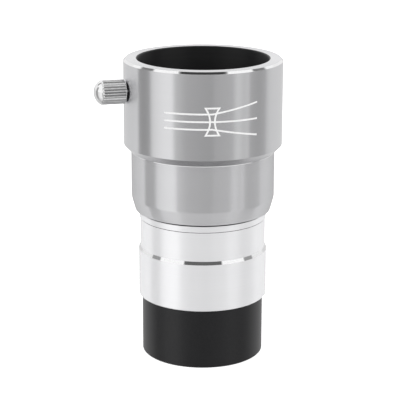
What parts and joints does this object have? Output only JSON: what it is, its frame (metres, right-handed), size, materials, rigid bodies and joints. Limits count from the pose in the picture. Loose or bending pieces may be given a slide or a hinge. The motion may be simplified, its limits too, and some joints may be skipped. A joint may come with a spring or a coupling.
{
  "type": "barlow lens",
  "caption": "Turned metal tube with a negative lens that fits between a telescope focuser and an eyepiece and raises the magnification.",
  "frame": {"origin": "centre of the lens cell's bottom face, on the optical axis, where the part stands", "axes": "+Z along the optical axis towards the eyepiece, -X towards the thumbscrew, +Y completes a right-handed frame"},
  "size_m": [0.0462, 0.0386, 0.0741],
  "materials": {
    "satin_aluminium": "fine-turned satin",
    "bright_plating": "satin chrome plating",
    "black_anodised": "black anodised, semi-gloss",
    "coated_glass": "polished, anti-reflection coated",
    "plated_screw": "bright plating"
  },
  "bodies": {
    "tube": {"eyepiece_holder": "satin_aluminium", "body_neck": "satin_aluminium", "nosepiece_barrel": "bright_plating", "glare_stop": "black_anodised"},
    "lens_doublet": {"crown_element": "coated_glass", "flint_element": "coated_glass"},
    "cell_housing": {"lens_cell": "black_anodised", "lens_retaining_ring": "black_anodised"},
    "screw_stud": {"thumbscrew_stud": "plated_screw"},
    "screw_head": {"thumbscrew_head": "plated_screw"}
  },
  "joints": [
    {"name": "thumbscrew_travel", "type": "slide", "parent": "tube", "child": "screw_stud", "axis": [-1, 0, 0], "range_m": [-0.00014, 0.003]},
    {"name": "thumbscrew_turn", "type": "hinge", "parent": "screw_stud", "child": "screw_head", "pos_m": [-0.01945, 0, 0.0668], "axis": [-1, 0, 0], "range_deg": [-98, 2161]},
    {"name": "cell_travel", "type": "slide", "parent": "tube", "child": "lens_doublet", "axis": [0, 0, -1], "range_m": [0, 0.0039]},
    {"name": "cell_turn", "type": "hinge", "parent": "lens_doublet", "child": "cell_housing", "pos_m": [0, 0, 0.0075], "axis": [0, 0, -1], "range_deg": [0, 2341]}
  ],
  "couplings": [
    {"joint": "thumbscrew_turn", "follows": "thumbscrew_travel", "rad_per_m": 12566},
    {"joint": "cell_turn", "follows": "cell_travel", "rad_per_m": 10472}
  ]
}
